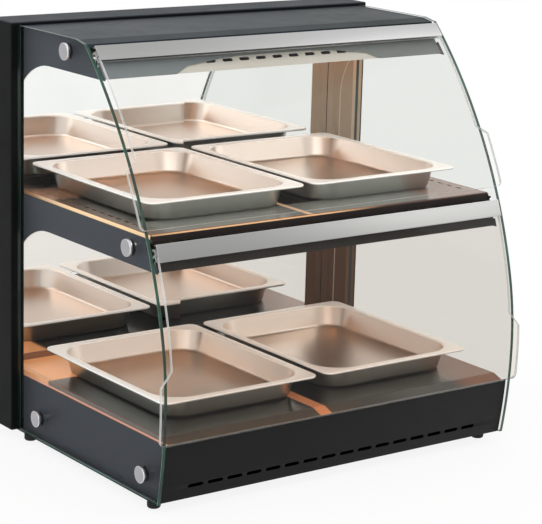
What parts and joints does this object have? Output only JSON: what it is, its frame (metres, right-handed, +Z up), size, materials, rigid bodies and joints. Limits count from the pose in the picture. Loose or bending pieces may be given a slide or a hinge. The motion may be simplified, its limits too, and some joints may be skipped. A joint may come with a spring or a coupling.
{
  "type": "heated display case",
  "caption": "Two-tier heated counter display case with a curved glass front, hinged front flaps, sliding mirror doors at the back and shallow food pans.",
  "frame": {"origin": "centre of the footprint's box at the counter surface, under the feet", "axes": "+Z up, the customer's curved glass front faces -Y, +X is the customer's right"},
  "size_m": [0.64, 0.467, 0.621],
  "materials": {
    "charcoal_paint": "satin",
    "slate_paint": "satin",
    "panel_paint": "satin",
    "base_paint": "fine texture",
    "stainless": "brushed",
    "bright_steel": "bright",
    "aluminium": "brushed",
    "chrome": "polished",
    "clear_glass": "polished",
    "mirror_glass": "polished",
    "quartz": "polished",
    "element": "oxidised",
    "rubber": "matte",
    "plastic": "matte"
  },
  "bodies": {
    "case": {"base_front_panel": "base_paint", "base_floor": "base_paint", "foot_front_left": "rubber", "foot_front_right": "rubber", "foot_rear_left": "rubber", "foot_rear_right": "rubber", "rear_frame": "charcoal_paint", "side_glass_left": "clear_glass", "side_glass_right": "clear_glass", "side_panel_left": "panel_paint", "side_panel_right": "panel_paint", "knob_left_top": "chrome", "knob_left_shelf": "chrome", "knob_left_base_rear": "chrome", "knob_left_base_front": "chrome", "knob_right_top": "chrome", "knob_right_shelf": "chrome", "knob_right_base_rear": "chrome", "knob_right_base_front": "chrome", "roof": "slate_paint", "deck": "stainless", "shelf": "stainless", "shelf_trim": "base_paint", "upper_lamp_housing": "bright_steel", "lower_lamp_housing": "bright_steel", "upper_lamp_1": "quartz", "upper_lamp_2": "quartz", "lower_lamp_1": "quartz", "lower_lamp_2": "quartz", "upper_fascia": "base_paint", "lower_fascia": "base_paint", "deck_heater": "element", "upper_hinge_bead": "aluminium", "lower_hinge_bead": "aluminium", "upper_track_bottom": "plastic", "upper_track_top": "plastic", "lower_track_bottom": "plastic", "lower_track_top": "plastic", "upper_pan_left": "bright_steel", "upper_pan_right": "bright_steel", "lower_pan_left": "bright_steel", "lower_pan_right": "bright_steel", "control_recess": "plastic", "thermostat": "plastic", "switch_bezel": "plastic", "power_inlet": "plastic"},
    "upper_flap": {"upper_rail": "aluminium", "upper_flap_glass": "clear_glass"},
    "lower_flap": {"lower_rail": "aluminium", "lower_flap_glass": "clear_glass"},
    "upper_door_left_leaf": {"upper_door_left": "mirror_glass", "upper_door_left_pull": "plastic"},
    "upper_door_right_leaf": {"upper_door_right": "mirror_glass", "upper_door_right_pull": "plastic"},
    "lower_door_left_leaf": {"lower_door_left": "mirror_glass", "lower_door_left_pull": "plastic"},
    "lower_door_right_leaf": {"lower_door_right": "mirror_glass", "lower_door_right_pull": "plastic"},
    "dial": {"thermostat_dial": "plastic"},
    "rocker": {"switch_rocker": "plastic"}
  },
  "joints": [
    {"name": "upper_flap_hinge", "type": "hinge", "parent": "case", "child": "upper_flap", "pos_m": [0, -0.02853, 0.597], "axis": [-1, 0, 0], "range_deg": [0, 60]},
    {"name": "lower_flap_hinge", "type": "hinge", "parent": "case", "child": "lower_flap", "pos_m": [0, -0.18186, 0.3558], "axis": [-1, 0, 0], "range_deg": [0, 60]},
    {"name": "upper_door_left_slide", "type": "slide", "parent": "case", "child": "upper_door_left_leaf", "axis": [1, 0, 0], "range_m": [0, 0.262]},
    {"name": "upper_door_right_slide", "type": "slide", "parent": "case", "child": "upper_door_right_leaf", "axis": [-1, 0, 0], "range_m": [0, 0.262]},
    {"name": "lower_door_left_slide", "type": "slide", "parent": "case", "child": "lower_door_left_leaf", "axis": [1, 0, 0], "range_m": [0, 0.262]},
    {"name": "lower_door_right_slide", "type": "slide", "parent": "case", "child": "lower_door_right_leaf", "axis": [-1, 0, 0], "range_m": [0, 0.262]},
    {"name": "dial_turn", "type": "hinge", "parent": "case", "child": "dial", "pos_m": [0.065, 0.2097, 0.063], "axis": [0, -1, 0], "range_deg": [0, 270]},
    {"name": "rocker_tilt", "type": "hinge", "parent": "case", "child": "rocker", "pos_m": [-0.005, 0.209, 0.063], "axis": [1, 0, 0], "range_deg": [0, 14]}
  ]
}
